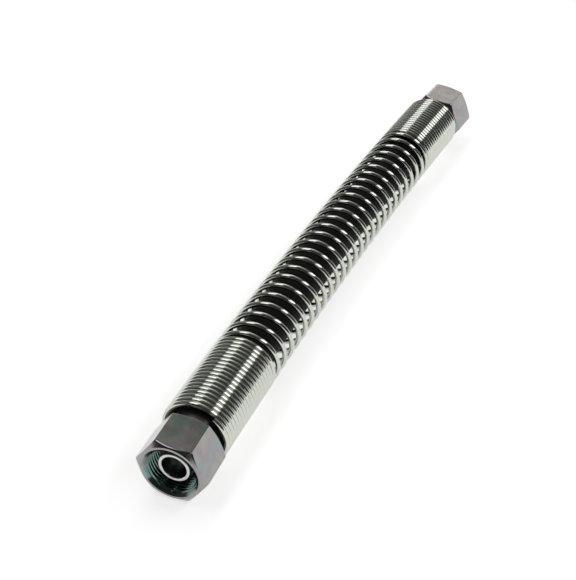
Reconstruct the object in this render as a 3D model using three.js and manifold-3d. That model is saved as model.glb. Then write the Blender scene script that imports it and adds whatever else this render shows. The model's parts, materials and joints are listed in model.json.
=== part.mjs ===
// Oil cooler hose: a short rubber pressure hose with a swivel union nut on each end, inside a wire spring guard.
// Millimetres, +Z up. The hose lies on the floor along X, near end at -X, bowed a little towards +Y.
// The origin is the middle of the underside of the finished assembly's box.
import * as THREE from "three";
import Module from "manifold-3d";
import { mergeVertices } from "three/addons/utils/BufferGeometryUtils.js";

const wasm = await Module();
wasm.setup();

// Clearances
const PIECE_GAP = 0.3; // between pieces that sit on or in each other
const NUT_FLOAT = 0.4; // end play of a swivel nut between the tail's collar and the ferrule
const NUT_TO_FLOOR = 0.25; // under the lowest corner of the nut that hangs lowest
const CUT_PAST = 1; // how far a cutting shape runs past the face that it cuts
const MERGE_WITHIN = 1e-4; // two points closer than this are one

// Whole hose
const OVERALL_LENGTH = 325.3; // nut mouth to nut mouth, along the hose
const HOSE_BEND = THREE.MathUtils.degToRad(6.7); // between the two end fittings
const GUARD_BEND = THREE.MathUtils.degToRad(4.75); // between the two ends of the spring guard

// Swivel nut, internal thread M22 x 1.5, drawn at the thread's minor diameter
const NUT_ACROSS_FLATS = 27;
const NUT_HEIGHT = 19.5;
const NUT_FACE_D = 25.9; // flat ring left by the 30 degree chamfer
const NUT_CHAMFER_ANGLE = THREE.MathUtils.degToRad(30);
const THREAD_MINOR_D = 20.4;
const THREAD_DEPTH = 12.2; // from the mouth to the run-out groove
const RUN_OUT_D = 22.2;
const RUN_OUT_WIDTH = 1.5;
const MOUTH_D = 24; // wide end of the thread's lead-in
const REAR_BORE_LEAD = 0.5;
const NEAR_NUT_TURN = THREE.MathUtils.degToRad(55); // first corner above the horizontal, seen from the near end
const FAR_NUT_TURN = THREE.MathUtils.degToRad(53.5);

// Hose tail: nose with a 24 degree cone, collar, neck, ferrule groove and barbed stem
const NOSE_RECESS = 3.3; // nose tip behind the nut's mouth
const NOSE_TIP_D = 13.7;
const NOSE_EDGE = 0.25; // small chamfer at the tip, outside and inside
const CONE_HALF_ANGLE = THREE.MathUtils.degToRad(12);
const CONE_LENGTH = 7.4;
const NOSE_BORE_D = 10.6;
const NOSE_BORE_DEPTH = 14;
const STEM_BORE_D = 9.5;
const COLLAR_WIDTH = 2.6;
const COLLAR_TO_THREAD = 0.5; // radial room between collar and thread crests
const NECK_D = 16.6;
const FERRULE_GROOVE_D = 13.2;
const LOCK_COLLAR_D = 15.2;
const LOCK_COLLAR_WIDTH = 1.2;
const BARB_COUNT = 4;
const BARB_DEPTH = 0.4;
const BARB_RISE = 0.25; // share of a barb's pitch that its steep front takes
const STEM_SHORT_OF_FERRULE = 2; // the stem ends this far inside the ferrule

// O-ring in the cone's groove
const O_RING_SECTION = 2;
const O_RING_PROUD = 0.25; // above the cone
const O_RING_PLACE = 4.4; // middle of the groove, from the nose tip

// Ferrule, crimped on the braid where the cover is stripped off
const FERRULE_LENGTH = 38;
const FERRULE_LIP = 2.2;
const FERRULE_RIM = 1; // chamfer at both ends
const CRIMP_GROOVES = 3;
const CRIMP_DEPTH = 0.35;

// Hose wall, from inside to outside
const HOSE_BORE_D = 12.7;
const LINER_WALL = 1.3;
const BRAID_THICKNESS = 0.5;
const HOSE_D = 20;

// Spring guard: close turns over the ferrules, open turns between them
const GUARD_D = 30.2;
const WIRE_D = 2.3;
const CLOSE_PITCH = 2.393;
const NEAR_CLOSE_TURNS = 19.5;
const OPEN_TURNS = 25.5;
const FAR_CLOSE_TURNS = 17.5;
const PITCH_CHANGE_TURNS = 2.5; // turns over which the pitch opens or closes
const GUARD_TO_NEAR_NUT = 2.2;
const GUARD_TO_FAR_NUT = 1.5;
const GUARD_START_TURN = THREE.MathUtils.degToRad(52); // where the near wire end lies, above the horizontal
const GUARD_HAND = 1; // 1 is a right-hand coil

// Facets
const ROUND_SEGMENTS = 24;
const TUBE_SIDES = 16;
const TUBE_STEPS = 12;
const STEPS_PER_TURN = 12;
const WIRE_SIDES = 6;
const O_RING_SIDES = 8;
const LENGTH_SAMPLES_PER_STEP = 4; // for the coil's even spacing

// Worked out from the sizes above
const nutCornerRadius = NUT_ACROSS_FLATS / Math.sqrt(3);
const ferruleStart = NUT_HEIGHT + NUT_FLOAT; // from the nut's mouth
const fittingLength = ferruleStart + FERRULE_LENGTH;
const hoseRadius = (OVERALL_LENGTH - 2 * fittingLength) / HOSE_BEND;
const linerRadius = HOSE_BORE_D / 2 + LINER_WALL;
const braidInnerRadius = linerRadius + PIECE_GAP;
const braidOuterRadius = braidInnerRadius + BRAID_THICKNESS;
const coverInnerRadius = braidOuterRadius + PIECE_GAP;
const coilRadius = (GUARD_D - WIRE_D) / 2;
const guardBoreRadius = GUARD_D / 2 - WIRE_D;
const guardTurns = NEAR_CLOSE_TURNS + OPEN_TURNS + FAR_CLOSE_TURNS;
// The guard's middle line fills the room between the nuts, and the open turns share what the close turns leave of it.
const guardLength = OVERALL_LENGTH - 2 * NUT_HEIGHT - GUARD_TO_NEAR_NUT - GUARD_TO_FAR_NUT - WIRE_D;
const openPitch = (guardLength - CLOSE_PITCH * (NEAR_CLOSE_TURNS + FAR_CLOSE_TURNS)) / OPEN_TURNS;
const guardStart = NUT_HEIGHT + GUARD_TO_NEAR_NUT + WIRE_D / 2 - OVERALL_LENGTH / 2; // along the hose, 0 in the middle
const guardArcRadius = guardLength / GUARD_BEND;
const guardHeight = GUARD_D / 2;

// How far a nut's lowest corner lies under its axis
function cornerDrop(turn) {
  let lowest = 0;
  for (let corner = 0; corner < 6; corner++) {
    lowest = Math.min(lowest, Math.sin(turn + (corner * Math.PI) / 3));
  }
  return -lowest * nutCornerRadius;
}

const lowestNut = Math.max(cornerDrop(NEAR_NUT_TURN), cornerDrop(FAR_NUT_TURN));
const hoseHeight = lowestNut + NUT_TO_FLOOR;

// The hose's middle line in plan: straight in each fitting, one arc between them. s is 0 in the middle.
function hoseLine(s) {
  const side = Math.sign(s);
  const reach = Math.abs(s);
  const half = (HOSE_BEND * hoseRadius) / 2;
  const angle = Math.min(reach, half) / hoseRadius;
  const beyond = Math.max(reach - half, 0);
  const x = hoseRadius * Math.sin(angle) + beyond * Math.cos(angle);
  const y = hoseRadius * (Math.cos(angle) - 1) - beyond * Math.sin(angle);
  return { point: new THREE.Vector3(side * x, y, hoseHeight), heading: -side * angle };
}

// The guard's middle line in plan is a flatter arc. It crosses the hose's line in the middle of each ferrule.
const ferruleMiddle = OVERALL_LENGTH / 2 - ferruleStart - FERRULE_LENGTH / 2;
const crossing = hoseLine(ferruleMiddle).point;
const guardMiddleY = crossing.y + guardArcRadius - Math.sqrt(guardArcRadius ** 2 - crossing.x ** 2);

function guardLine(s) {
  const angle = s / guardArcRadius;
  const x = guardArcRadius * Math.sin(angle);
  const y = guardMiddleY + guardArcRadius * (Math.cos(angle) - 1);
  return { point: new THREE.Vector3(x, y, guardHeight), heading: -angle };
}

// The ferrule fills the guard's bore as far as their two lines, which part a little, let it.
const linesApart = [0, FERRULE_LENGTH].map((along) => {
  const s = OVERALL_LENGTH / 2 - ferruleStart - along;
  const hose = hoseLine(s).point;
  return Math.hypot(guardLine(s).point.y - hose.y, guardHeight - hoseHeight);
});
const coilFacetLoss = coilRadius * (1 - Math.cos(Math.PI / STEPS_PER_TURN));
const ferruleRadius = guardBoreRadius - coilFacetLoss - Math.max(...linesApart) - PIECE_GAP;

const zinc = { color: 0xb4b6b4, roughness: 0.32, metalness: 0.9 };
const finishes = {
  guard: new THREE.MeshStandardMaterial({ name: "spring_wire", color: 0xc3c5c3, roughness: 0.15, metalness: 1 }),
  nut: new THREE.MeshStandardMaterial({ name: "zinc_nut", ...zinc }),
  tail: new THREE.MeshStandardMaterial({ name: "zinc_tail", ...zinc, roughness: 0.38 }),
  ferrule: new THREE.MeshStandardMaterial({ name: "zinc_ferrule", ...zinc, roughness: 0.42 }),
  cover: new THREE.MeshStandardMaterial({ name: "cover_rubber", color: 0x141414, roughness: 0.6, metalness: 0 }),
  liner: new THREE.MeshStandardMaterial({ name: "liner_rubber", color: 0x101010, roughness: 0.7, metalness: 0 }),
  braid: new THREE.MeshStandardMaterial({ name: "braid_wire", color: 0x8e8a80, roughness: 0.45, metalness: 0.8 }),
  seal: new THREE.MeshStandardMaterial({ name: "seal_rubber", color: 0x0c0c0c, roughness: 0.5, metalness: 0 }),
};

// A three.js geometry as a solid that can be cut
function solidOf(geometry) {
  const bare = geometry.clone();
  bare.deleteAttribute("normal");
  bare.deleteAttribute("uv");
  const merged = mergeVertices(bare, MERGE_WITHIN);
  return new wasm.Manifold(
    new wasm.Mesh({
      numProp: 3,
      vertProperties: merged.attributes.position.array,
      triVerts: new Uint32Array(merged.index.array),
    }),
  );
}

function geometryOf(solid) {
  const mesh = solid.getMesh();
  const geometry = new THREE.BufferGeometry();
  geometry.setAttribute("position", new THREE.BufferAttribute(mesh.vertProperties, 3));
  geometry.setIndex(new THREE.BufferAttribute(mesh.triVerts, 1));
  geometry.computeVertexNormals();
  return geometry;
}

// Points as [radius, place along the axis], turned round the fitting's axis, which is local X
function turned(points) {
  const outline = points.map(([radius, along]) => new THREE.Vector2(radius, along));
  return new THREE.LatheGeometry(outline, ROUND_SEGMENTS).rotateZ(-Math.PI / 2);
}

function swivelNutShape(turn) {
  const blank = new THREE.CylinderGeometry(nutCornerRadius, nutCornerRadius, NUT_HEIGHT, 6);
  blank.rotateZ(-Math.PI / 2).translate(NUT_HEIGHT / 2, 0, 0);
  blank.rotateX(turn + Math.PI / 2);
  const face = NUT_FACE_D / 2;
  const slope = Math.tan(NUT_CHAMFER_ANGLE);
  const reach = nutCornerRadius + CUT_PAST;
  const rise = (reach - face) * slope;
  const chamfers = turned([
    [0, 0],
    [face, 0],
    [reach, rise],
    [reach, NUT_HEIGHT - rise],
    [face, NUT_HEIGHT],
    [0, NUT_HEIGHT],
  ]);
  const minor = THREAD_MINOR_D / 2;
  const lead = MOUTH_D / 2 - minor;
  const groove = RUN_OUT_D / 2;
  const rear = NECK_D / 2 + PIECE_GAP;
  const shoulderEnd = shoulderPlace + (minor - rear);
  const hollow = turned([
    [0, -CUT_PAST],
    [MOUTH_D / 2 + CUT_PAST, -CUT_PAST],
    [minor, lead],
    [minor, THREAD_DEPTH],
    [groove, THREAD_DEPTH],
    [groove, THREAD_DEPTH + RUN_OUT_WIDTH],
    [minor, THREAD_DEPTH + RUN_OUT_WIDTH],
    [minor, shoulderPlace],
    [rear, shoulderEnd],
    [rear, NUT_HEIGHT - REAR_BORE_LEAD],
    [rear + REAR_BORE_LEAD + CUT_PAST, NUT_HEIGHT + CUT_PAST],
    [0, NUT_HEIGHT + CUT_PAST],
  ]);
  return geometryOf(solidOf(blank).intersect(solidOf(chamfers)).subtract(solidOf(hollow)));
}

// Places along the tail, from the nut's mouth
const noseTip = NOSE_RECESS;
const coneEnd = noseTip + CONE_LENGTH;
const coneRadius = (place) => NOSE_TIP_D / 2 + (place - noseTip) * Math.tan(CONE_HALF_ANGLE);
const collarRadius = THREAD_MINOR_D / 2 - COLLAR_TO_THREAD;
const collarEnd = coneEnd + COLLAR_WIDTH;
const neckStart = collarEnd + collarRadius - NECK_D / 2;
const neckEnd = NUT_HEIGHT + NUT_FLOAT - PIECE_GAP;
const grooveEnd = ferruleStart + FERRULE_LIP + PIECE_GAP;
const lockEnd = grooveEnd + LOCK_COLLAR_WIDTH;
const hoseEnd = lockEnd + PIECE_GAP; // cut end of the liner and braid
const stemEnd = fittingLength - STEM_SHORT_OF_FERRULE;
// The nut's 45 degree shoulder stands the end play's gap behind the collar's.
const shoulderPlace = collarEnd - COLLAR_TO_THREAD + NUT_FLOAT * Math.SQRT2;
const oRingPlace = noseTip + O_RING_PLACE;
const oRingRadius = coneRadius(oRingPlace) + O_RING_PROUD - O_RING_SECTION / 2;

function hoseTailShape() {
  const bore = NOSE_BORE_D / 2;
  const stemBore = STEM_BORE_D / 2;
  const tip = NOSE_TIP_D / 2;
  const seat = O_RING_SECTION / 2 + PIECE_GAP;
  const seatRadius = oRingRadius - seat;
  const barbRadius = (HOSE_BORE_D / 2) * Math.cos(Math.PI / TUBE_SIDES) - PIECE_GAP;
  const outside = [
    [bore + NOSE_EDGE, noseTip],
    [tip - NOSE_EDGE, noseTip],
    [tip, noseTip + NOSE_EDGE],
    [coneRadius(oRingPlace - seat), oRingPlace - seat],
    [seatRadius, oRingPlace - seat],
    [seatRadius, oRingPlace + seat],
    [coneRadius(oRingPlace + seat), oRingPlace + seat],
    [coneRadius(coneEnd), coneEnd],
    [collarRadius, coneEnd],
    [collarRadius, collarEnd],
    [NECK_D / 2, neckStart],
    [NECK_D / 2, neckEnd],
    [FERRULE_GROOVE_D / 2, neckEnd],
    [FERRULE_GROOVE_D / 2, grooveEnd],
    [LOCK_COLLAR_D / 2, grooveEnd],
    [LOCK_COLLAR_D / 2, lockEnd],
  ];
  const barbPitch = (stemEnd - lockEnd) / BARB_COUNT;
  for (let barb = 0; barb < BARB_COUNT; barb++) {
    outside.push([barbRadius - BARB_DEPTH, lockEnd + barb * barbPitch]);
    outside.push([barbRadius, lockEnd + (barb + BARB_RISE) * barbPitch]);
  }
  outside.push([barbRadius - BARB_DEPTH, stemEnd]);
  const inside = [
    [stemBore, stemEnd],
    [stemBore, noseTip + NOSE_BORE_DEPTH + (bore - stemBore)],
    [bore, noseTip + NOSE_BORE_DEPTH],
    [bore, noseTip + NOSE_EDGE],
    [bore + NOSE_EDGE, noseTip],
  ];
  return turned([...outside, ...inside]);
}

function oRingShape() {
  const ring = new THREE.TorusGeometry(oRingRadius, O_RING_SECTION / 2, O_RING_SIDES, ROUND_SEGMENTS);
  return ring.rotateY(Math.PI / 2).translate(oRingPlace, 0, 0);
}

function ferruleShape() {
  const lipRadius = FERRULE_GROOVE_D / 2 + PIECE_GAP;
  const end = ferruleStart + FERRULE_LENGTH;
  const outside = [
    [lipRadius, ferruleStart],
    [ferruleRadius - FERRULE_RIM, ferruleStart],
    [ferruleRadius, ferruleStart + FERRULE_RIM],
  ];
  const pitch = (FERRULE_LENGTH - 2 * FERRULE_RIM) / (CRIMP_GROOVES + 1);
  for (let groove = 1; groove <= CRIMP_GROOVES; groove++) {
    const place = ferruleStart + FERRULE_RIM + groove * pitch;
    outside.push([ferruleRadius, place - pitch / 4]);
    outside.push([ferruleRadius - CRIMP_DEPTH, place]);
    outside.push([ferruleRadius, place + pitch / 4]);
  }
  outside.push([ferruleRadius, end - FERRULE_RIM], [ferruleRadius - FERRULE_RIM, end]);
  const inside = [
    [coverInnerRadius, end],
    [coverInnerRadius, ferruleStart + FERRULE_LIP],
    [lipRadius, ferruleStart + FERRULE_LIP],
    [lipRadius, ferruleStart],
  ];
  return turned([...outside, ...inside]);
}

function piece(name, geometry, material) {
  const mesh = new THREE.Mesh(geometry, material);
  mesh.name = name;
  return mesh;
}

// One end: local X runs from the nut's mouth into the hose.
function endFitting(side, turn) {
  const fitting = new THREE.Group();
  fitting.add(
    piece(side + "_swivel_nut", swivelNutShape(turn), finishes.nut),
    piece(side + "_hose_tail", hoseTailShape(), finishes.tail),
    piece(side + "_o_ring", oRingShape(), finishes.seal),
    piece(side + "_ferrule", ferruleShape(), finishes.ferrule),
  );
  return fitting;
}

// The hose's line, or a stretch of it, as a curve to extrude along
class HoseCurve extends THREE.Curve {
  constructor(start, end) {
    super();
    this.start = start;
    this.end = end;
  }
  getPoint(t) {
    return hoseLine(this.start + (this.end - this.start) * t).point;
  }
}

function tubeShape(outerRadius, innerRadius, endGap) {
  const section = new THREE.Shape().absarc(0, 0, outerRadius, 0, 2 * Math.PI, false);
  section.holes.push(new THREE.Path().absarc(0, 0, innerRadius, 0, 2 * Math.PI, true));
  const half = OVERALL_LENGTH / 2 - endGap;
  return new THREE.ExtrudeGeometry(section, {
    extrudePath: new HoseCurve(-half, half),
    steps: TUBE_STEPS,
    curveSegments: TUBE_SIDES / 2,
    bevelEnabled: false,
  });
}

// Pitch at a turn: close, easing to open and back to close
function pitchAt(turn) {
  const ease = (from) => THREE.MathUtils.smoothstep(turn, from - PITCH_CHANGE_TURNS / 2, from + PITCH_CHANGE_TURNS / 2);
  const open = ease(NEAR_CLOSE_TURNS) - ease(NEAR_CLOSE_TURNS + OPEN_TURNS);
  return CLOSE_PITCH + (openPitch - CLOSE_PITCH) * open;
}

// Distance that the coil has advanced at each step of a turn
const coilSteps = Math.round(guardTurns * STEPS_PER_TURN);
const advance = [0];
for (let step = 0; step < coilSteps; step++) {
  const middle = ((step + 0.5) * guardTurns) / coilSteps;
  advance.push(advance[step] + (pitchAt(middle) * guardTurns) / coilSteps);
}

class CoilCurve extends THREE.Curve {
  getPoint(t) {
    const place = t * coilSteps;
    const step = Math.min(Math.floor(place), coilSteps - 1);
    const along = guardStart + THREE.MathUtils.lerp(advance[step], advance[step + 1], place - step);
    const { point, heading } = guardLine(along);
    const angle = GUARD_START_TURN - GUARD_HAND * t * guardTurns * 2 * Math.PI;
    const right = new THREE.Vector3(Math.sin(heading), -Math.cos(heading), 0);
    const up = new THREE.Vector3(0, 0, 1);
    return point.addScaledVector(right, coilRadius * Math.cos(angle)).addScaledVector(up, coilRadius * Math.sin(angle));
  }
}

function springGuardShape() {
  const section = new THREE.Shape();
  for (let side = 0; side < WIRE_SIDES; side++) {
    const angle = (side * 2 * Math.PI) / WIRE_SIDES;
    const corner = [(WIRE_D / 2) * Math.cos(angle), (WIRE_D / 2) * Math.sin(angle)];
    if (side === 0) section.moveTo(...corner);
    else section.lineTo(...corner);
  }
  section.closePath();
  const path = new CoilCurve();
  path.arcLengthDivisions = coilSteps * LENGTH_SAMPLES_PER_STEP;
  return new THREE.ExtrudeGeometry(section, { extrudePath: path, steps: coilSteps, bevelEnabled: false });
}

const hose = new THREE.Group();
const nearEnd = hoseLine(-OVERALL_LENGTH / 2);
const farEnd = hoseLine(OVERALL_LENGTH / 2);

const nearFitting = endFitting("near", Math.PI - NEAR_NUT_TURN);
nearFitting.position.copy(nearEnd.point);
nearFitting.rotation.z = nearEnd.heading;

const farFitting = endFitting("far", FAR_NUT_TURN);
farFitting.position.copy(farEnd.point);
farFitting.rotation.z = Math.PI + farEnd.heading;

hose.add(
  nearFitting,
  farFitting,
  piece("hose_liner", tubeShape(linerRadius, HOSE_BORE_D / 2, hoseEnd), finishes.liner),
  piece("hose_braid", tubeShape(braidOuterRadius, braidInnerRadius, hoseEnd), finishes.braid),
  piece("hose_cover", tubeShape(HOSE_D / 2, coverInnerRadius, fittingLength + PIECE_GAP), finishes.cover),
  piece("spring_guard", springGuardShape(), finishes.guard),
);

// The frame: X and Y to the middle of the box, Z to its underside
hose.updateMatrixWorld(true);
const box = new THREE.Box3().setFromObject(hose, true);
const centre = box.getCenter(new THREE.Vector3());
hose.position.set(-centre.x, -centre.y, -box.min.z);

const assembly = new THREE.Group();
assembly.add(hose);

export default assembly;
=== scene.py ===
# Oil cooler hose: a rubber hose in a bright wire spring guard, with a zinc plated swivel nut on each end.
import json
import math

import bmesh
import bpy
from mathutils import Matrix, Vector


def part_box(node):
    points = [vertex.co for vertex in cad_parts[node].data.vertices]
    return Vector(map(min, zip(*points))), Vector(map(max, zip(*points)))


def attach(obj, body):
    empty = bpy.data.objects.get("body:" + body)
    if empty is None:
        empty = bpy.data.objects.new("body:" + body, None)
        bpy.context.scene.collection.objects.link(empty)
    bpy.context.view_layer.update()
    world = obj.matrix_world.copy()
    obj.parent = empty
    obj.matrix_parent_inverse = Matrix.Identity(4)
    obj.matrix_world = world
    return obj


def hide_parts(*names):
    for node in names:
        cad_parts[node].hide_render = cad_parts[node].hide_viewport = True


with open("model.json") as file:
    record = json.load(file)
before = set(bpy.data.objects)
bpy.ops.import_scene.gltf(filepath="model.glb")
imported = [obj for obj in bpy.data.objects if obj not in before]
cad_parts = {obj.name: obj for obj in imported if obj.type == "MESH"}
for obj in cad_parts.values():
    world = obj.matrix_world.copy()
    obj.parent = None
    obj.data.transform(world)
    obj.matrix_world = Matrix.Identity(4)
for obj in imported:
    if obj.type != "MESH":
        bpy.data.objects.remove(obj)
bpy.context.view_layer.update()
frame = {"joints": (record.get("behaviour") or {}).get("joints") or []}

# Sizes are in millimetres, as on a maker's drawing, and become metres when a piece is placed.
MM = 0.001
TURN = 2 * math.pi
PIECE_GAP = 0.3

# Corners that lie closer than this, in metres, are one; the slack is the same in millimetres
MERGE_WITHIN = 1e-7
SLACK = MERGE_WITHIN / MM

# Rounds: their sizes, the faces across each, and the degrees that an edge has to turn by to get one
BURR_ROUND = 0.12
NUT_EDGE_ROUND = 0.48
ROUND_SEGMENTS = 3
ROUND_OVER = 25

# Edges that turn by fewer degrees than these are shaded smooth
SMOOTH_BELOW = 35
NUT_SMOOTH_BELOW = 25
FEW_SIDES_SMOOTH_BELOW = 50

OVERALL_LENGTH = 325.3
HOSE_BEND = math.radians(6.7)
GUARD_BEND = math.radians(4.75)

NUT_ACROSS_FLATS = 27.0
NUT_HEIGHT = 19.5
NUT_FACE_D = 25.9
NUT_CHAMFER_SLOPE = math.tan(math.radians(30))
NUT_FLOAT = 0.4
NEAR_NUT_TURN = math.pi - math.radians(55)
FAR_NUT_TURN = math.radians(53.5)
REAR_BORE_LEAD = 0.5
MOUTH_D = 24.0
RUN_OUT_D = 22.2
RUN_OUT_WIDTH = 1.5

# Half the angle that a flat spans, and where the blank's corners start before the chamfer moves them
HALF_FLAT = TURN / 12
NUT_BLANK_CORNER = 1.0

# The thread's crest and root are parts of its pitch
THREAD_PITCH = 1.5
THREAD_MINOR_D = 20.4
THREAD_MAJOR_D = 22.0
THREAD_DEPTH = 12.2
THREAD_CREST = 0.25
THREAD_ROOT = 0.125
RINGS_PER_PITCH = 12

NOSE_RECESS = 3.3
NOSE_TIP_D = 13.7
NOSE_EDGE = 0.25
CONE_SLOPE = math.tan(math.radians(12))
CONE_LENGTH = 7.4
NOSE_BORE_D = 10.6
NOSE_BORE_DEPTH = 14.0
STEM_BORE_D = 9.5
COLLAR_WIDTH = 2.6
COLLAR_TO_THREAD = 0.5
NECK_D = 16.6
FERRULE_GROOVE_D = 13.2
LOCK_COLLAR_D = 15.2
LOCK_COLLAR_WIDTH = 1.2
STEM_SHORT_OF_FERRULE = 2.0

# A barb's rise is a part of the barbs' pitch
BARB_COUNT = 4
BARB_DEPTH = 0.4
BARB_RISE = 0.25

O_RING_SECTION = 2.0
O_RING_PROUD = 0.25
O_RING_PLACE = 4.4

FERRULE_LENGTH = 38.0
FERRULE_LIP = 2.2
FERRULE_RIM = 1.0

# A crimped groove's shoulders and floor are parts of the grooves' pitch
CRIMP_GROOVES = 3
CRIMP_DEPTH = 0.35
CRIMP_SHOULDER = 1 / 4
CRIMP_FLOOR = 1 / 8
CRIMP_JAWS = 8
CRIMP_RIDGE = 0.12

HOSE_BORE_D = 12.7
LINER_WALL = 1.3
BRAID_THICKNESS = 0.5
HOSE_D = 20.0

GUARD_D = 30.2
WIRE_D = 2.3
CLOSE_PITCH = 2.393
NEAR_CLOSE_TURNS = 19.5
OPEN_TURNS = 25.5
FAR_CLOSE_TURNS = 17.5
PITCH_CHANGE_TURNS = 2.5
GUARD_TO_NEAR_NUT = 2.2
GUARD_TO_FAR_NUT = 1.5
GUARD_START_TURN = math.radians(52)

# The sides of the hose's bore in the plain solids, whose flats the barbs stay within
HOSE_SIDES_IN_CAD = 16

# Names of what the meshes store, and how finely the pieces are divided
ROUND_FACES = "round_faces"
ON_FITTING = "on_fitting"
ON_HOSE = "on_hose"
NUT_STEPS = 120
ROUND_STEPS = 96
O_RING_SIDES = 20
TUBE_SIDES = 64
TUBE_STEPS = 60
WIRE_STEPS_PER_TURN = 48
WIRE_ROUNDNESS = 6

# The photo's camera: its place in millimetres from the part's origin, and its angles in radians
CAMERA_PLACE = (-444.22, -179.40, 349.64)
CAMERA_HEADING = math.radians(24.507)
CAMERA_DIP = 0.6422
CAMERA_ROLL = 0.009
CAMERA_FOCAL_PIXELS = 1215.2
PHOTO_HEIGHT = 580
SENSOR_HEIGHT = 36.0
CAMERA_NEAR = 0.01

# Worked out from the sizes above
nut_corner = NUT_ACROSS_FLATS / math.sqrt(3)
ferrule_start = NUT_HEIGHT + NUT_FLOAT
fitting_length = ferrule_start + FERRULE_LENGTH
hose_radius = (OVERALL_LENGTH - 2 * fitting_length) / HOSE_BEND
liner_outer = HOSE_BORE_D / 2 + LINER_WALL
braid_inner = liner_outer + PIECE_GAP
braid_outer = braid_inner + BRAID_THICKNESS
cover_inner = braid_outer + PIECE_GAP
coil_radius = (GUARD_D - WIRE_D) / 2
guard_turns = NEAR_CLOSE_TURNS + OPEN_TURNS + FAR_CLOSE_TURNS
guard_length = OVERALL_LENGTH - 2 * NUT_HEIGHT - GUARD_TO_NEAR_NUT - GUARD_TO_FAR_NUT - WIRE_D
open_pitch = (guard_length - CLOSE_PITCH * (NEAR_CLOSE_TURNS + FAR_CLOSE_TURNS)) / OPEN_TURNS
guard_start = NUT_HEIGHT + GUARD_TO_NEAR_NUT + WIRE_D / 2 - OVERALL_LENGTH / 2
guard_radius = guard_length / GUARD_BEND


# Places, all worked out from the frame's two swivel joints

def fitting_place(joint_name):
    """Local X runs from the nut's mouth into the hose, local Z is up."""
    joint = next(j for j in frame["joints"] if j["name"] == joint_name)
    inward = -Vector(joint["axis"]).normalized()
    up = Vector((0, 0, 1))
    turned_to = Matrix((inward, up.cross(inward), up)).transposed()
    return Matrix.Translation(joint["pos_m"]) @ turned_to.to_4x4()


near_place = fitting_place("near_nut_spin")
far_place = fitting_place("far_nut_spin")


def bare_line(s):
    """The hose's middle line in plan, before it is placed: point and heading at s from the middle."""
    side = math.copysign(1, s)
    half = HOSE_BEND * hose_radius / 2
    angle = min(abs(s), half) / hose_radius
    beyond = max(abs(s) - half, 0)
    x = hose_radius * math.sin(angle) + beyond * math.cos(angle)
    y = hose_radius * (math.cos(angle) - 1) - beyond * math.sin(angle)
    return side * x, y, -side * angle


hose_side = near_place.translation.y / MM - bare_line(OVERALL_LENGTH / 2)[1]
hose_height = near_place.translation.z / MM


def along_hose(s):
    x, y, heading = bare_line(s)
    place = Matrix.Translation(Vector((x, y + hose_side, hose_height)) * MM)
    return place @ Matrix.Rotation(heading, 4, "Z")


ferrule_middle = OVERALL_LENGTH / 2 - ferrule_start - FERRULE_LENGTH / 2
cross_x, cross_y, _ = bare_line(ferrule_middle)
guard_side = hose_side + cross_y + guard_radius - math.sqrt(guard_radius ** 2 - cross_x ** 2)


def along_guard(s):
    angle = s / guard_radius
    x = guard_radius * math.sin(angle)
    y = guard_side + guard_radius * (math.cos(angle) - 1)
    place = Matrix.Translation(Vector((x, y, GUARD_D / 2)) * MM)
    return place @ Matrix.Rotation(-angle, 4, "Z")


# Making pieces

def finished(bm, node, kind, body, material, smooth_below=SMOOTH_BELOW):
    """Turns a bmesh that is in its place into the piece that stands for a node of the frame.

    The edges between a round and the flats beside it are shaded sharp.
    """
    rounds = bm.faces.layers.int.get(ROUND_FACES)
    for face in bm.faces:
        face.smooth = True
    for edge in bm.edges:
        same = rounds is None or len({face[rounds] for face in edge.link_faces}) == 1
        edge.smooth = same and edge.calc_face_angle() < math.radians(smooth_below)
    name = node + "_" + kind
    mesh = bpy.data.meshes.new(name)
    bm.to_mesh(mesh)
    bm.free()
    mesh.materials.append(material)
    piece = bpy.data.objects.new(name, mesh)
    bpy.context.collection.objects.link(piece)
    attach(piece, body)
    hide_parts(node)


def spin(bm, outline, steps=ROUND_STEPS):
    """Takes a closed outline once round local X."""
    bmesh.ops.spin(bm, geom=outline, cent=(0, 0, 0), axis=(1, 0, 0), dvec=(0, 0, 0),
                   angle=TURN, steps=steps, use_merge=True, use_duplicate=False)
    bmesh.ops.remove_doubles(bm, verts=bm.verts[:], dist=MERGE_WITHIN)
    bmesh.ops.recalc_face_normals(bm, faces=bm.faces[:])


def turned(outline, steps=ROUND_STEPS):
    """A closed outline of [radius, place along local X] corners, turned round local X."""
    bm = bmesh.new()
    corners = [bm.verts.new((place * MM, radius * MM, 0)) for radius, place in outline]
    edges = [bm.edges.new(pair) for pair in zip(corners, corners[1:] + corners[:1])]
    spin(bm, corners + edges, steps)
    return bm


def round_edges(bm, size, closest=0):
    """A small round on each sharp edge, as tumbling and plating leave it.

    Edges that come closer to the axis than the closest radius stay as they are. The rounds' faces are
    marked for finished().
    """
    rounds = bm.faces.layers.int.get(ROUND_FACES) or bm.faces.layers.int.new(ROUND_FACES)
    sharp = [edge for edge in bm.edges if edge.calc_face_angle() > math.radians(ROUND_OVER)]
    sharp = [edge for edge in sharp if min(polar(vert)[0] for vert in edge.verts) >= closest]
    made = bmesh.ops.bevel(bm, geom=sharp, offset=size * MM, offset_type="OFFSET",
                           segments=ROUND_SEGMENTS, profile=0.5, affect="EDGES", material=-1,
                           clamp_overlap=True)
    for face in made["faces"]:
        face[rounds] = 1


def put_on_fitting(bm, place, seed):
    """Stores each vertex's local place in millimetres, shifted by the seed, and then moves the piece."""
    layer = bm.verts.layers.float_vector.new(ON_FITTING)
    for vert in bm.verts:
        vert[layer] = vert.co / MM + Vector((seed, 0, 0))
    bmesh.ops.transform(bm, matrix=place, verts=bm.verts[:])


def polar(vert):
    """Distance from the local X axis in millimetres, and angle round it."""
    return math.hypot(vert.co.y, vert.co.z) / MM, math.atan2(vert.co.z, vert.co.y)


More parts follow.
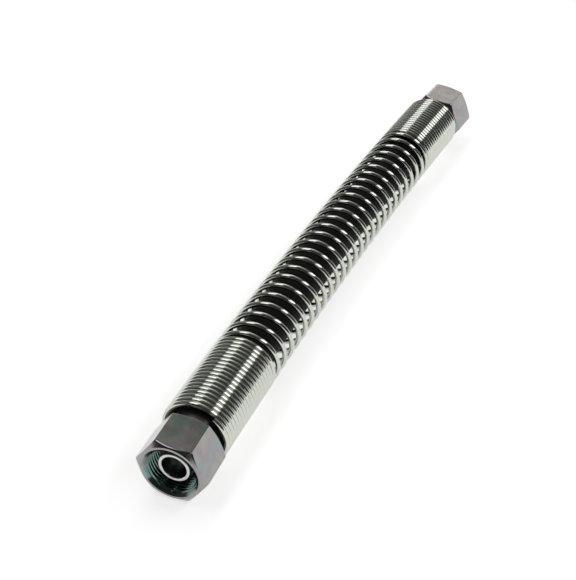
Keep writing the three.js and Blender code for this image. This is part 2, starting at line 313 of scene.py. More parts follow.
def set_radius(vert, radius, angle, place=None):
    along = vert.co.x if place is None else place * MM
    vert.co = Vector((along, radius * MM * math.cos(angle), radius * MM * math.sin(angle)))


def hexagon_radius(angle):
    within = (angle + HALF_FLAT) % (2 * HALF_FLAT) - HALF_FLAT
    return NUT_ACROSS_FLATS / 2 / math.cos(abs(within) - HALF_FLAT)


def thread_rise(phase):
    """How deep the thread is cut over one pitch, from 0 at its crest to 1 at its root."""
    flank = (1 - THREAD_CREST - THREAD_ROOT) / 2
    away = abs((phase % 1) - 0.5) - THREAD_ROOT / 2
    return 1 - min(max(away / flank, 0), 1)


def swivel_nut(node, body, place, turn, seed):
    """Hexagon with chamfered ends, thread, run-out groove and a shoulder for the tail's collar."""
    face = NUT_FACE_D / 2
    mouth = MOUTH_D / 2
    minor = THREAD_MINOR_D / 2
    rear = NECK_D / 2 + PIECE_GAP
    shoulder = collar_end - COLLAR_TO_THREAD + NUT_FLOAT * math.sqrt(2)
    rings = round(THREAD_DEPTH / THREAD_PITCH * RINGS_PER_PITCH)
    outline = [
        [face, 0],
        [nut_corner, NUT_BLANK_CORNER],
        [nut_corner, NUT_HEIGHT - NUT_BLANK_CORNER],
        [face, NUT_HEIGHT],
        [rear + REAR_BORE_LEAD, NUT_HEIGHT],
        [rear, NUT_HEIGHT - REAR_BORE_LEAD],
        [rear, shoulder + minor - rear],
        [minor, shoulder],
        [minor, THREAD_DEPTH + RUN_OUT_WIDTH],
        [RUN_OUT_D / 2, THREAD_DEPTH + RUN_OUT_WIDTH],
        [RUN_OUT_D / 2, THREAD_DEPTH],
    ]
    for ring in range(rings):
        along = THREAD_DEPTH * (1 - ring / rings)
        outline.append([max(minor, mouth - along), along])
    outline.append([mouth, 0])
    bm = turned(outline, NUT_STEPS)
    threaded = set()
    for vert in bm.verts:
        radius, angle = polar(vert)
        along = vert.co.x / MM
        if radius > nut_corner - SLACK:
            flat = hexagon_radius(angle)
            rise = (flat - face) * NUT_CHAMFER_SLOPE
            set_radius(vert, flat, angle, rise if along < NUT_HEIGHT / 2 else NUT_HEIGHT - rise)
        elif SLACK < along < THREAD_DEPTH + SLACK and radius < max(minor, mouth - along) + SLACK:
            threaded.add(vert)
    for vert in threaded:
        _, angle = polar(vert)
        along = vert.co.x / MM
        cut = minor + (THREAD_MAJOR_D / 2 - minor) * thread_rise(along / THREAD_PITCH - angle / TURN)
        set_radius(vert, max(cut, mouth - along), angle)
    round_edges(bm, NUT_EDGE_ROUND, face + SLACK)
    bmesh.ops.rotate(bm, verts=bm.verts[:], cent=(0, 0, 0), matrix=Matrix.Rotation(turn, 3, "X"))
    put_on_fitting(bm, place, seed)
    finished(bm, node, "threaded", body, zinc_nut, NUT_SMOOTH_BELOW)


# Places along the tail, from the nut's mouth
nose_tip = NOSE_RECESS
cone_end = nose_tip + CONE_LENGTH
collar_end = cone_end + COLLAR_WIDTH
groove_end = ferrule_start + FERRULE_LIP + PIECE_GAP
lock_end = groove_end + LOCK_COLLAR_WIDTH
hose_end = lock_end + PIECE_GAP
stem_end = fitting_length - STEM_SHORT_OF_FERRULE
o_ring_place = nose_tip + O_RING_PLACE


def cone_radius(place):
    return NOSE_TIP_D / 2 + (place - nose_tip) * CONE_SLOPE


o_ring_radius = cone_radius(o_ring_place) + O_RING_PROUD - O_RING_SECTION / 2


def hose_tail(node, place, seed):
    """One turned piece: coned nose with a seal groove, collar, neck, ferrule groove and barbed stem."""
    bore = NOSE_BORE_D / 2
    stem_bore = STEM_BORE_D / 2
    tip = NOSE_TIP_D / 2
    seat = O_RING_SECTION / 2 + PIECE_GAP
    collar = THREAD_MINOR_D / 2 - COLLAR_TO_THREAD
    barb_top = (HOSE_BORE_D / 2) * math.cos(math.pi / HOSE_SIDES_IN_CAD) - PIECE_GAP
    neck_end = ferrule_start - PIECE_GAP
    outline = [
        [bore + NOSE_EDGE, nose_tip],
        [tip - NOSE_EDGE, nose_tip],
        [tip, nose_tip + NOSE_EDGE],
        [cone_radius(o_ring_place - seat), o_ring_place - seat],
        [o_ring_radius - seat, o_ring_place - seat],
        [o_ring_radius - seat, o_ring_place + seat],
        [cone_radius(o_ring_place + seat), o_ring_place + seat],
        [cone_radius(cone_end), cone_end],
        [collar, cone_end],
        [collar, collar_end],
        [NECK_D / 2, collar_end + collar - NECK_D / 2],
        [NECK_D / 2, neck_end],
        [FERRULE_GROOVE_D / 2, neck_end],
        [FERRULE_GROOVE_D / 2, groove_end],
        [LOCK_COLLAR_D / 2, groove_end],
        [LOCK_COLLAR_D / 2, lock_end],
    ]
    barb_pitch = (stem_end - lock_end) / BARB_COUNT
    for barb in range(BARB_COUNT):
        outline.append([barb_top - BARB_DEPTH, lock_end + barb * barb_pitch])
        outline.append([barb_top, lock_end + (barb + BARB_RISE) * barb_pitch])
    outline += [
        [barb_top - BARB_DEPTH, stem_end],
        [stem_bore, stem_end],
        [stem_bore, nose_tip + NOSE_BORE_DEPTH + bore - stem_bore],
        [bore, nose_tip + NOSE_BORE_DEPTH],
        [bore, nose_tip + NOSE_EDGE],
    ]
    bm = turned(outline)
    round_edges(bm, BURR_ROUND)
    put_on_fitting(bm, place, seed)
    finished(bm, node, "turned", "hose", zinc_tail)


def o_ring(node, place, seed):
    bm = bmesh.new()
    centre = Vector((o_ring_place, o_ring_radius, 0)) * MM
    made = bmesh.ops.create_circle(bm, cap_ends=False, radius=O_RING_SECTION / 2 * MM,
                                   segments=O_RING_SIDES, matrix=Matrix.Translation(centre))
    spin(bm, made["verts"] + bm.edges[:])
    put_on_fitting(bm, place, seed)
    finished(bm, node, "moulded", "hose", seal_rubber, FEW_SIDES_SMOOTH_BELOW)


def ferrule(node, place, seed):
    """Pressed sleeve with three crimped grooves, and the faint ridges that the press jaws leave."""
    low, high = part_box(node)
    radius = (high.z - low.z) / MM / 2
    lip = FERRULE_GROOVE_D / 2 + PIECE_GAP
    end = ferrule_start + FERRULE_LENGTH
    outline = [
        [lip, ferrule_start],
        [radius - FERRULE_RIM, ferrule_start],
        [radius, ferrule_start + FERRULE_RIM],
    ]
    pitch = (FERRULE_LENGTH - 2 * FERRULE_RIM) / (CRIMP_GROOVES + 1)
    for groove in range(1, CRIMP_GROOVES + 1):
        middle = ferrule_start + FERRULE_RIM + groove * pitch
        outline.append([radius, middle - pitch * CRIMP_SHOULDER])
        outline.append([radius - CRIMP_DEPTH, middle - pitch * CRIMP_FLOOR])
        outline.append([radius - CRIMP_DEPTH, middle + pitch * CRIMP_FLOOR])
        outline.append([radius, middle + pitch * CRIMP_SHOULDER])
    outline += [
        [radius, end - FERRULE_RIM],
        [radius - FERRULE_RIM, end],
        [cover_inner, end],
        [cover_inner, ferrule_start + FERRULE_LIP],
        [lip, ferrule_start + FERRULE_LIP],
    ]
    bm = turned(outline)
    for vert in bm.verts:
        reach, angle = polar(vert)
        if reach > radius - CRIMP_DEPTH - SLACK:
            pressed = (1 + math.cos(CRIMP_JAWS * angle)) / 2
            set_radius(vert, reach - CRIMP_RIDGE * pressed, angle)
    round_edges(bm, BURR_ROUND)
    put_on_fitting(bm, place, seed)
    finished(bm, node, "crimped", "hose", zinc_ferrule)


def hose_layer(node, kind, outer, inner, end_gap, material):
    """A ring drawn along the hose's middle line, short of the assembly's ends by the end gap."""
    half = OVERALL_LENGTH / 2 - end_gap
    bm = bmesh.new()
    for radius in (outer, inner):
        bmesh.ops.create_circle(bm, cap_ends=False, radius=radius * MM, segments=TUBE_SIDES)
    bmesh.ops.bridge_loops(bm, edges=bm.edges[:])
    across = Matrix.Rotation(TURN / 4, 4, "Y")
    layer = bm.verts.layers.float_vector.new(ON_HOSE)
    for vert in bm.verts:
        vert[layer] = Vector((-half, *(vert.co.xy / MM)))
    bmesh.ops.transform(bm, matrix=along_hose(-half) @ across, verts=bm.verts[:])
    drawn = bm.faces[:]
    for step in range(TUBE_STEPS):
        s = -half + 2 * half * step / TUBE_STEPS
        ahead = s + 2 * half / TUBE_STEPS
        behind = drawn
        made = bmesh.ops.extrude_face_region(bm, geom=behind)["geom"]
        drawn = [item for item in made if isinstance(item, bmesh.types.BMFace)]
        verts = [item for item in made if isinstance(item, bmesh.types.BMVert)]
        if step:
            bmesh.ops.delete(bm, geom=behind, context="FACES")
        bmesh.ops.transform(bm, matrix=along_hose(ahead) @ along_hose(s).inverted(), verts=verts)
        for vert in verts:
            vert[layer] = Vector((ahead, *vert[layer].yz))
    bmesh.ops.recalc_face_normals(bm, faces=bm.faces[:])
    finished(bm, node, kind, "hose", material)


def eased(turn, middle):
    """0 before the pitch changes at the turn named, 1 after it."""
    part = (turn - middle) / PITCH_CHANGE_TURNS + 0.5
    part = min(max(part, 0), 1)
    return part * part * (3 - 2 * part)


def pitch_at(turn):
    opened = eased(turn, NEAR_CLOSE_TURNS) - eased(turn, NEAR_CLOSE_TURNS + OPEN_TURNS)
    return CLOSE_PITCH + (open_pitch - CLOSE_PITCH) * opened


def spring_guard():
    """One round wire: close turns over each ferrule, open turns between, cut square at both ends."""
    steps = round(guard_turns * WIRE_STEPS_PER_TURN)
    share = guard_turns / steps
    along = guard_start
    points = []
    for step in range(steps + 1):
        angle = GUARD_START_TURN - step * share * TURN
        on_coil = Vector((0, -math.cos(angle), math.sin(angle))) * coil_radius * MM
        points.append(along_guard(along) @ on_coil)
        along += pitch_at((step + 0.5) * share) * share
    curve = bpy.data.curves.new("wire_line", "CURVE")
    curve.dimensions = "3D"
    curve.bevel_depth = WIRE_D / 2 * MM
    curve.bevel_resolution = WIRE_ROUNDNESS
    curve.use_fill_caps = True
    line = curve.splines.new("POLY")
    line.points.add(len(points) - 1)
    for slot, point in zip(line.points, points):
        slot.co = (*point, 1)
    drawn = bpy.data.objects.new("wire_line", curve)
    bpy.context.collection.objects.link(drawn)
    evaluated = drawn.evaluated_get(bpy.context.evaluated_depsgraph_get())
    mesh = bpy.data.meshes.new_from_object(evaluated)
    bpy.data.objects.remove(drawn)
    bm = bmesh.new()
    bm.from_mesh(mesh)
    bpy.data.meshes.remove(mesh)
    bmesh.ops.remove_doubles(bm, verts=bm.verts[:], dist=MERGE_WITHIN)
    bmesh.ops.recalc_face_normals(bm, faces=bm.faces[:])
    finished(bm, "spring_guard", "wire", "hose", spring_wire, FEW_SIDES_SMOOTH_BELOW)


# Finishes

# A colour mix node's sockets: two colours in, one out
MIX_FIRST = 6
MIX_SECOND = 7
MIX_RESULT = 2


def set_inputs(tree, node, inputs):
    """Sets each input to a value, or links it to another node's socket."""
    for key, value in inputs.items():
        if isinstance(value, bpy.types.NodeSocket):
            tree.links.new(value, node.inputs[key])
        else:
            node.inputs[key].default_value = value


def add(tree, kind, inputs=None, **settings):
    """A node with its settings and inputs."""
    made = tree.nodes.new(kind)
    for name, value in settings.items():
        setattr(made, name, value)
    set_inputs(tree, made, inputs or {})
    return made


def new_group(name, takes, gives):
    """An effect that materials share, with the sockets that it takes and gives."""
    tree = bpy.data.node_groups.new(name, "ShaderNodeTree")
    for way, sockets in (("INPUT", takes), ("OUTPUT", gives)):
        for label, kind in sockets.items():
            tree.interface.new_socket(label, in_out=way, socket_type="NodeSocket" + kind)
    return tree, tree.nodes.new("NodeGroupInput").outputs, tree.nodes.new("NodeGroupOutput")


def give(tree, out, **sockets):
    for label, socket in sockets.items():
        tree.links.new(socket, out.inputs[label])


def ramp(tree, factor, stops):
    made = add(tree, "ShaderNodeValToRGB", {"Fac": factor})
    band = made.color_ramp
    while len(band.elements) < len(stops):
        band.elements.new(1)
    for stop, (place, colour) in zip(band.elements, stops):
        stop.position = place
        stop.color = (*colour, 1)
    return made.outputs["Color"]


def math_node(tree, operation, *values):
    return add(tree, "ShaderNodeMath", dict(enumerate(values)), operation=operation).outputs[0]


def mix(tree, factor, first, second, blend="MIX"):
    inputs = {"Factor": factor, MIX_FIRST: first, MIX_SECOND: second}
    return add(tree, "ShaderNodeMix", inputs, data_type="RGBA", blend_type=blend).outputs[MIX_RESULT]


def noise(tree, place, scale, **inputs):
    """Noise at a place in millimetres."""
    inputs = {label.capitalize(): value for label, value in inputs.items()}
    return add(tree, "ShaderNodeTexNoise", {"Vector": place, "Scale": scale} | inputs).outputs["Fac"]


def bump(tree, height, strength, depth):
    """Raised by the height, up to a depth in millimetres."""
    inputs = {"Strength": strength, "Distance": depth * MM, "Height": height}
    return add(tree, "ShaderNodeBump", inputs).outputs["Normal"]


def stored_place(tree, name):
    return add(tree, "ShaderNodeAttribute", attribute_name=name).outputs["Vector"]


def axis_distance(tree, place):
    """The place's component along X, and its distance from the X axis."""
    split = add(tree, "ShaderNodeSeparateXYZ", {0: place}).outputs
    square = math_node(tree, "MULTIPLY", split["Y"], split["Y"])
    square = math_node(tree, "MULTIPLY_ADD", split["Z"], split["Z"], square)
    return split["X"], math_node(tree, "SQRT", square)


# Stops of the colour ramps: a place from 0 to 1, and a colour
PLATING_TINTS = (
    (0.32, (0.78, 1.00, 0.94)),
    (0.44, (1.00, 1.00, 0.90)),
    (0.54, (1.00, 0.84, 0.92)),
    (0.64, (0.84, 0.92, 1.00)),
    (0.74, (0.80, 1.00, 0.96)),
)
# Inside the thread and bore: a green tint, and a darkening that is painted shade in that recess
THREAD_TINTS_AND_SHADE = (
    (0.32, (0.30, 0.60, 0.66)),
    (0.46, (0.42, 0.74, 0.72)),
    (0.58, (0.30, 0.62, 0.42)),
    (0.70, (0.55, 0.66, 0.50)),
)
PLATING_SHADES = ((0.30, (0.88, 0.88, 0.88)), (0.70, (1.06, 1.06, 1.06)))
HAIRLINES = ((0.60, (0, 0, 0)), (0.68, (1, 1, 1)))
RUBBED_SPOTS = ((0.45, (0, 0, 0)), (0.62, (1, 1, 1)))
WIRE_COLOURS = ((0.30, (0.53, 0.55, 0.50)), (0.70, (0.62, 0.63, 0.57)))
# Braid: darker where the weave is low, as painted shade between the wires
BRAID_COLOURS_WITH_SHADE = ((0.00, (0.20, 0.19, 0.17)), (0.60, (0.50, 0.48, 0.44)))
COVER_COLOURS = ((0.35, (0.003, 0.003, 0.0035)), (0.70, (0.008, 0.008, 0.008)))
LINER_COLOURS = ((0.35, (0.006, 0.006, 0.006)), (0.70, (0.014, 0.014, 0.014)))
SEAL_COLOURS = ((0.35, (0.006, 0.006, 0.006)), (0.70, (0.012, 0.012, 0.012)))
TAPE_STEP = ((0.00, (1, 1, 1)), (0.05, (0.2, 0.2, 0.2)), (0.95, (0.4, 0.4, 0.4)))

# Braid: wires each way round, and radians of lay for each millimetre of hose
BRAID_WIRES = 24.0
BRAID_LAY = 3.2

# Cloth print on the cover: radians of weave for each millimetre, the tape's advance in millimetres a turn,
# and the heights of cloth and grain beside that of the tape's step
CLOTH_WEAVE = 7.5
TAPE_ADVANCE = 22
CLOTH_HEIGHT = 0.35
GRAIN_HEIGHT = 0.6

# How much rougher a scuff is than the metal beside it
SCUFFED_ZINC = 0.12
SCUFFED_WIRE = 0.15

# Scratches: their slant in radians, and how their noise is stretched
SCRATCH_SLANT = (0.4, 0.9, 0.3)
SCRATCH_STRETCH = (0.25, 6.0, 2.0)


def turning_marks_group():
    """Fine grooves that a lathe tool leaves round the fitting's axis, on flanks and on end faces alike."""
    tree, given, out = new_group("turning marks", {"Place": "Vector", "Spacing": "Float"},
                                 {"Height": "Float"})
    along = math_node(tree, "ADD", *axis_distance(tree, given["Place"]))
    marks = add(tree, "ShaderNodeTexNoise", {"W": along, "Scale": given["Spacing"], "Detail": 3.0},
                noise_dimensions="1D")
    give(tree, out, Height=marks.outputs["Fac"])
    return tree


def plating_group():
    """Thin clear zinc plating: cloudy grey with soft pink, green and blue tints where its film varies.
    Inside the inner radius it is greener and darker: the plating's tint there, with painted shade.
    """
    tree, given, out = new_group(
        "zinc plating",
        {"Place": "Vector", "Base Color": "Color", "Tint": "Float", "Inner Tint and Shade": "Float",
         "Inner Radius": "Float"},
        {"Color": "Color", "Cloud": "Float"},
    )
    clouds = noise(tree, given["Place"], scale=0.16, detail=5.0, roughness=0.6, distortion=0.5)
    film = noise(tree, given["Place"], scale=0.085, detail=2.0, roughness=0.4, distortion=0.9)
    _, radius = axis_distance(tree, given["Place"])
    inside = add(tree, "ShaderNodeMath", {0: given["Inner Radius"], 1: radius}, operation="SUBTRACT",
                 use_clamp=True).outputs[0]
    tinted = mix(tree, given["Tint"], given["Base Color"], ramp(tree, film, PLATING_TINTS), "MULTIPLY")
    # Within the inner radius the colour turns greener and darker: the plating's tint, with painted shade in
    # the bore and thread
    deep = math_node(tree, "MULTIPLY", inside, given["Inner Tint and Shade"])
    tinted = mix(tree, deep, tinted, ramp(tree, film, THREAD_TINTS_AND_SHADE), "MULTIPLY")
    shaded = mix(tree, 1.0, tinted, ramp(tree, clouds, PLATING_SHADES), "MULTIPLY")
    give(tree, out, Color=shaded, Cloud=clouds)
    return tree


def scuffs_group():
    """Hairline scratches and rubbed spots from handling."""
    tree, given, out = new_group("handling scuffs", {"Place": "Vector", "Scale": "Float"},
                                 {"Mask": "Float"})
    stretched = add(tree, "ShaderNodeMapping", {"Vector": given["Place"], "Rotation": SCRATCH_SLANT,
                                                "Scale": SCRATCH_STRETCH}).outputs[0]
    lines = ramp(tree, noise(tree, stretched, given["Scale"], detail=4.0, roughness=0.7), HAIRLINES)
    spots = ramp(tree, noise(tree, given["Place"], scale=0.35), RUBBED_SPOTS)
    give(tree, out, Mask=math_node(tree, "MULTIPLY", lines, spots))
    return tree


def rubber_grain_group():
    """Fine pores and slight unevenness of moulded or extruded rubber."""
    tree, given, out = new_group("rubber grain", {"Place": "Vector", "Scale": "Float"},
                                 {"Height": "Float", "Bloom": "Float"})
    pores = noise(tree, given["Place"], given["Scale"], detail=6.0, roughness=0.65)
    bloom = noise(tree, given["Place"], scale=0.15, detail=4.0)
    give(tree, out, Height=pores, Bloom=bloom)
    return tree


turning_marks = turning_marks_group()
plating = plating_group()
scuffs = scuffs_group()
rubber_grain = rubber_grain_group()


def new_material(slot):
    """A plain material that keeps the name of its slot."""
    material = bpy.data.materials.new(slot + "_finish")
    material["slot"] = slot
    material.use_nodes = True
    tree = material.node_tree
    return material, tree, tree.nodes["Principled BSDF"]


def placed_group(tree, group, inputs):
    return add(tree, "ShaderNodeGroup", inputs, node_tree=group).outputs


def between(tree, factor, low, high):
    return add(tree, "ShaderNodeMapRange", {"Value": factor, "To Min": low, "To Max": high}).outputs[0]


def zinc(name, colour, tint, inner_tint_and_shade, inner_radius, smoothest, roughest, mark_height, spacing):
    """Turned and plated steel; the surfaces within the inner radius have a tint of their own, and are
    darkened there as painted shade in the bore and thread.
    """
    material, tree, shader = new_material(name)
    place = stored_place(tree, ON_FITTING)
    plated = placed_group(tree, plating, {"Place": place, "Base Color": (*colour, 1), "Tint": tint,
                                          "Inner Tint and Shade": inner_tint_and_shade, "Inner Radius": inner_radius})
    marks = placed_group(tree, turning_marks, {"Place": place, "Spacing": spacing})
    rubbed = placed_group(tree, scuffs, {"Place": place, "Scale": 1.0})
    rough = between(tree, plated["Cloud"], smoothest, roughest)
    set_inputs(tree, shader, {
        "Base Color": plated["Color"],
        "Roughness": math_node(tree, "MULTIPLY_ADD", rubbed["Mask"], SCUFFED_ZINC, rough),
        "Normal": bump(tree, marks["Height"], strength=0.6, depth=mark_height),
        "Metallic": 1.0,
    })
    return material


def bright_wire():
    """Bright drawn spring wire: near mirror, with faint lines along the draw and a few dull specks."""
    material, tree, shader = new_material("spring_wire")
    place = add(tree, "ShaderNodeTexCoord").outputs["Object"]
    in_mm = add(tree, "ShaderNodeMapping", {"Vector": place, "Scale": (1 / MM, 1 / MM, 1 / MM)}).outputs[0]
    drawn = noise(tree, in_mm, scale=1.6, detail=5.0, roughness=0.7)
    rubbed = placed_group(tree, scuffs, {"Place": in_mm, "Scale": 0.8})
    rough = between(tree, drawn, low=0.07, high=0.14)
    set_inputs(tree, shader, {
        "Base Color": ramp(tree, drawn, WIRE_COLOURS),
        "Roughness": math_node(tree, "MULTIPLY_ADD", rubbed["Mask"], SCUFFED_WIRE, rough),
        "Normal": bump(tree, drawn, strength=0.18, depth=0.02),
        "Metallic": 1.0,
    })
    return material


def rubber(name, attribute, colours, smoothest, roughest, scale, height):
    material, tree, shader = new_material(name)
    grain = placed_group(tree, rubber_grain, {"Place": stored_place(tree, attribute), "Scale": scale})
    set_inputs(tree, shader, {
        "Base Color": ramp(tree, grain["Bloom"], colours),
        "Roughness": between(tree, grain["Bloom"], smoothest, roughest),
        "Normal": bump(tree, grain["Height"], strength=0.5, depth=height),
    })
    return material


def braided_wire():
    """Fine wires laid crosswise in two directions, as a raised weave that is darker in its hollows: painted
    shade between the wires.
    """
    material, tree, shader = new_material("braid_wire")
    split = add(tree, "ShaderNodeSeparateXYZ", {0: stored_place(tree, ON_HOSE)}).outputs
    angle = math_node(tree, "ARCTAN2", split["Z"], split["Y"])
    lays = []
    for wires in (BRAID_WIRES, -BRAID_WIRES):
        wound = math_node(tree, "MULTIPLY", angle, wires)
        phase = math_node(tree, "MULTIPLY_ADD", split["X"], BRAID_LAY, wound)
        lays.append(math_node(tree, "SINE", phase))
    weave = math_node(tree, "MULTIPLY", *lays)
    # The colour follows the weave's height, darker low down: painted shade between the wires
    set_inputs(tree, shader, {
        "Base Color": ramp(tree, weave, BRAID_COLOURS_WITH_SHADE),
        "Normal": bump(tree, weave, strength=0.8, depth=0.2),
        "Metallic": 0.9,
        "Roughness": 0.4,
    })
    return material


def wrapped_rubber():
    """Black cover cured under a wound cloth tape: a faint weave print and the tape's slanting overlaps."""
    material, tree, shader = new_material("cover_rubber")
    place = stored_place(tree, ON_HOSE)
    split = add(tree, "ShaderNodeSeparateXYZ", {0: place}).outputs
    angle = math_node(tree, "ARCTAN2", split["Z"], split["Y"])
    threads = []
    for across in (split["X"], math_node(tree, "MULTIPLY", angle, HOSE_D / 2)):
        threads.append(math_node(tree, "SINE", math_node(tree, "MULTIPLY", across, CLOTH_WEAVE)))
    advanced = math_node(tree, "MULTIPLY", split["X"], 1 / TAPE_ADVANCE)
    overlap = math_node(tree, "FRACT", math_node(tree, "MULTIPLY_ADD", angle, 1 / TURN, advanced))
    grain = placed_group(tree, rubber_grain, {"Place": place, "Scale": 2.0})
    cloth = math_node(tree, "MULTIPLY", *threads)
    height = math_node(tree, "MULTIPLY_ADD", cloth, CLOTH_HEIGHT, ramp(tree, overlap, TAPE_STEP))
    height = math_node(tree, "MULTIPLY_ADD", grain["Height"], GRAIN_HEIGHT, height)
    set_inputs(tree, shader, {
        "Base Color": ramp(tree, grain["Bloom"], COVER_COLOURS),
        "Roughness": between(tree, grain["Bloom"], low=0.5, high=0.68),
        "Specular IOR Level": 0.12,
        "Normal": bump(tree, height, strength=0.5, depth=0.12),
    })
    return material


# The inner tint darkens the nut's thread and the tail's bore: painted shade in those recesses
zinc_nut = zinc("zinc_nut", (0.34, 0.34, 0.33), tint=0.85, inner_tint_and_shade=0.9, inner_radius=MOUTH_D / 2,
                smoothest=0.13, roughest=0.21, mark_height=0.012, spacing=5.0)
zinc_tail = zinc("zinc_tail", (0.62, 0.62, 0.61), tint=0.22, inner_tint_and_shade=0.85,
                 inner_radius=NOSE_BORE_D / 2 + NOSE_EDGE,
                 smoothest=0.16, roughest=0.28, mark_height=0.03, spacing=7.0)
# The ferrule's base is darker than the other plating so that its end, in the gap behind the nut, reads as
# shaded: painted shade
zinc_ferrule = zinc("zinc_ferrule", (0.24, 0.24, 0.235), tint=0.5, inner_tint_and_shade=0.0, inner_radius=0.0,
                    smoothest=0.28, roughest=0.42, mark_height=0.03, spacing=4.0)
spring_wire = bright_wire()
cover_rubber = wrapped_rubber()
liner_rubber = rubber("liner_rubber", ON_HOSE, LINER_COLOURS,
                      smoothest=0.55, roughest=0.7, scale=1.5, height=0.06)
seal_rubber = rubber("seal_rubber", ON_FITTING, SEAL_COLOURS,
                     smoothest=0.35, roughest=0.5, scale=3.0, height=0.02)
braid_wire = braided_wire()

# Each fitting's name, place, turn of its nut, and shift of its finish
FITTINGS = (
    ("near", near_place, NEAR_NUT_TURN, 0),
    ("far", far_place, FAR_NUT_TURN, 305),
)
for side, place, turn, seed in FITTINGS:
    swivel_nut(side + "_swivel_nut", side + "_nut", place, turn, seed)
    hose_tail(side + "_hose_tail", place, seed)
    o_ring(side + "_o_ring", place, seed)
    ferrule(side + "_ferrule", place, seed)
hose_layer("hose_liner", "smooth", liner_outer, HOSE_BORE_D / 2, hose_end, liner_rubber)
hose_layer("hose_braid", "woven", braid_outer, braid_inner, hose_end, braid_wire)
hose_layer("hose_cover", "wrapped", HOSE_D / 2, cover_inner, fitting_length + PIECE_GAP, cover_rubber)
spring_guard()


# Stage, in metres: white floor, soft room, long strip lamps beside the hose, and the camera

FLOOR_REACH = 6.0
FLOOR_COLOUR = (0.90, 0.90, 0.90, 1)
FLOOR_ROUGHNESS = 0.9
WHITE = (1, 1, 1, 1)

# The floor's glow grows with the distance from the part, where the lamps light it less
FLOOR_GLOW_NEAR = 0.62
FLOOR_GLOW_FAR = 1.0
FLOOR_LIT_TO = 0.5
FLOOR_UNLIT_FROM = 2.0

# The room's light, and where it changes: a start and a full value, of a direction's height or of its cosine
# to a heading
ROOM_BEHIND_CAMERA = (0.04, 0.04, 0.045, 1)
ROOM_LOW = (0.05, 0.05, 0.05, 1)
ROOM_AHEAD = (0.185, 0.19, 0.18, 1)
AHEAD_OF_CAMERA = (-0.6, 0.3)
UP_THE_WALLS = (0.08, 0.42)
DOWN_THE_WALLS = (0.22, 0.04)
WHITE_WALL_HEADING = math.radians(65)
WHITE_WALL_SPREAD = (0.4, 0.75)
WINDOW_HEADING = math.radians(9.5)
WINDOW_ELEVATION = math.radians(31)
WINDOW_SPREAD = (math.cos(math.radians(14)), math.cos(math.radians(7)))
WINDOW_LIGHT = (0.94, 0.90, 0.90, 1)

# Strip lamps: their distance from the hose, and where each starts and ends along it
STRIP_DISTANCE = 1.0
RIGHT_STRIP = {"start": -0.7, "end": 1.3, "elevation": math.radians(51), "width": 0.30, "radiance": 1.9}
LEFT_STRIP = {"start": -0.5, "end": 0.5, "elevation": math.radians(68), "width": 0.38, "radiance": 1.7}
LEFT_FAR_STRIP = {"start": 1.0, "end": 2.4, "elevation": math.radians(60), "width": 0.32, "radiance": 2.2}


def seen_by_camera(tree):
    """Two masks: what the camera sees straight, and what it sees straight, mirrored or through glass."""
    path = add(tree, "ShaderNodeLightPath").outputs
    seen = math_node(tree, "MAXIMUM", path["Is Camera Ray"], path["Is Glossy Ray"])
    return path["Is Camera Ray"], math_node(tree, "MAXIMUM", seen, path["Is Transmission Ray"])


def eased_range(tree, value, start, full):
    """0 at the start and 1 at the full value, eased at both."""
    return add(tree, "ShaderNodeMapRange", {"Value": value, "From Min": start, "From Max": full},
               interpolation_type="SMOOTHSTEP").outputs[0]


def white_floor():
    bm = bmesh.new()
    bmesh.ops.create_grid(bm, x_segments=1, y_segments=1, size=FLOOR_REACH)
    mesh = bpy.data.meshes.new("white_floor")
    bm.to_mesh(mesh)
    bm.free()
    material, tree, shader = new_material("white_paper")
    _, seen = seen_by_camera(tree)
    place = add(tree, "ShaderNodeTexCoord").outputs["Object"]
    distance = add(tree, "ShaderNodeVectorMath", {0: place}, operation="LENGTH").outputs["Value"]
    glow = add(tree, "ShaderNodeMapRange", {
        "Value": distance,
        "From Min": FLOOR_LIT_TO,
        "From Max": FLOOR_UNLIT_FROM,
        "To Min": FLOOR_GLOW_NEAR,
        "To Max": FLOOR_GLOW_FAR,
    }).outputs[0]
    set_inputs(tree, shader, {
        "Base Color": FLOOR_COLOUR,
        "Roughness": FLOOR_ROUGHNESS,
        "Specular IOR Level": 0.0,
        "Emission Color": WHITE,
        "Emission Strength": math_node(tree, "MULTIPLY", seen, glow),
    })
    mesh.materials.append(material)
    floor = bpy.data.objects.new("white_floor", mesh)
    bpy.context.collection.objects.link(floor)


def room():
    """Grey ahead of the camera, darker low down and behind it, with a window and a low white wall."""
    world = bpy.data.worlds.new("studio_room")
    world.use_nodes = True
    tree = world.node_tree
    direction = add(tree, "ShaderNodeTexCoord").outputs["Generated"]
    height = add(tree, "ShaderNodeSeparateXYZ", {0: direction}).outputs["Z"]

    def towards(heading, start, full, elevation=0.0):
        level = math.cos(elevation)
        aim = (math.cos(heading) * level, math.sin(heading) * level, math.sin(elevation))
        along = add(tree, "ShaderNodeVectorMath", {0: direction, 1: aim}, operation="DOT_PRODUCT")
        return eased_range(tree, along.outputs["Value"], start, full)

    walls = mix(tree, eased_range(tree, height, *UP_THE_WALLS), ROOM_LOW, ROOM_AHEAD)
    walls = mix(tree, towards(CAMERA_HEADING, *AHEAD_OF_CAMERA), ROOM_BEHIND_CAMERA, walls)
    walls = mix(tree, towards(WINDOW_HEADING, *WINDOW_SPREAD, WINDOW_ELEVATION), walls, WINDOW_LIGHT)
    low = eased_range(tree, height, *DOWN_THE_WALLS)
    white_wall = math_node(tree, "MULTIPLY", towards(WHITE_WALL_HEADING, *WHITE_WALL_SPREAD), low)
    camera_only, _ = seen_by_camera(tree)
    white_part = math_node(tree, "MAXIMUM", white_wall, camera_only)
    colour = mix(tree, white_part, walls, WHITE)
    tree.links.new(colour, tree.nodes["Background"].inputs["Color"])
    bpy.context.scene.world = world


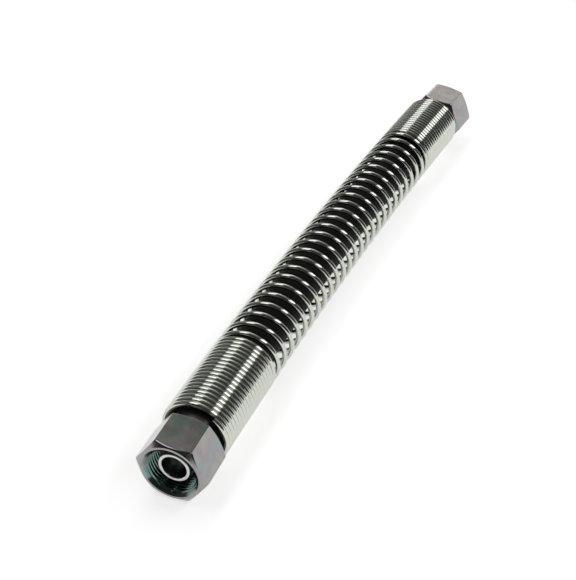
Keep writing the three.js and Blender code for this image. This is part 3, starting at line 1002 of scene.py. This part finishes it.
def strip_lamp(name, side, start, end, elevation, width, radiance):
    """A lamp parallel to the hose; side is 1 towards +Y and -1 towards -Y."""
    data = bpy.data.lights.new(name, "AREA")
    data.shape = "RECTANGLE"
    data.size = end - start
    data.size_y = width
    data.energy = radiance * math.pi * data.size * data.size_y
    outward = Vector((0, side * math.cos(elevation), math.sin(elevation)))
    along = Vector((1, 0, 0))
    middle = outward * STRIP_DISTANCE + along * (start + end) / 2
    lamp = bpy.data.objects.new(name, data)
    aim = Matrix((along, outward.cross(along), outward)).transposed()
    lamp.matrix_world = Matrix.Translation(middle) @ aim.to_4x4()
    bpy.context.collection.objects.link(lamp)


def photo_camera():
    """The camera that the photo was taken with, as fitted to it."""
    ahead = Vector((math.cos(CAMERA_HEADING), math.sin(CAMERA_HEADING), 0))
    right = Vector((math.sin(CAMERA_HEADING), -math.cos(CAMERA_HEADING), 0))
    up = Vector((0, 0, 1))
    view = ahead * math.cos(CAMERA_DIP) - up * math.sin(CAMERA_DIP)
    crown = ahead * math.sin(CAMERA_DIP) + up * math.cos(CAMERA_DIP)
    rolled_right = right * math.cos(CAMERA_ROLL) + crown * math.sin(CAMERA_ROLL)
    rolled_up = crown * math.cos(CAMERA_ROLL) - right * math.sin(CAMERA_ROLL)
    data = bpy.data.cameras.new("photo_camera")
    data.sensor_fit = "VERTICAL"
    data.sensor_height = SENSOR_HEIGHT
    data.lens = SENSOR_HEIGHT * CAMERA_FOCAL_PIXELS / PHOTO_HEIGHT
    data.clip_start = CAMERA_NEAR
    camera = bpy.data.objects.new("photo_camera", data)
    turned_to = Matrix((rolled_right, rolled_up, -view)).transposed()
    camera.matrix_world = Matrix.Translation(Vector(CAMERA_PLACE) * MM) @ turned_to.to_4x4()
    bpy.context.collection.objects.link(camera)
    bpy.context.scene.camera = camera


white_floor()
room()
strip_lamp("right_strip", -1, **RIGHT_STRIP)
strip_lamp("left_strip", 1, **LEFT_STRIP)
strip_lamp("left_far_strip", 1, **LEFT_FAR_STRIP)
photo_camera()
bpy.context.scene.view_settings.view_transform = "Standard"
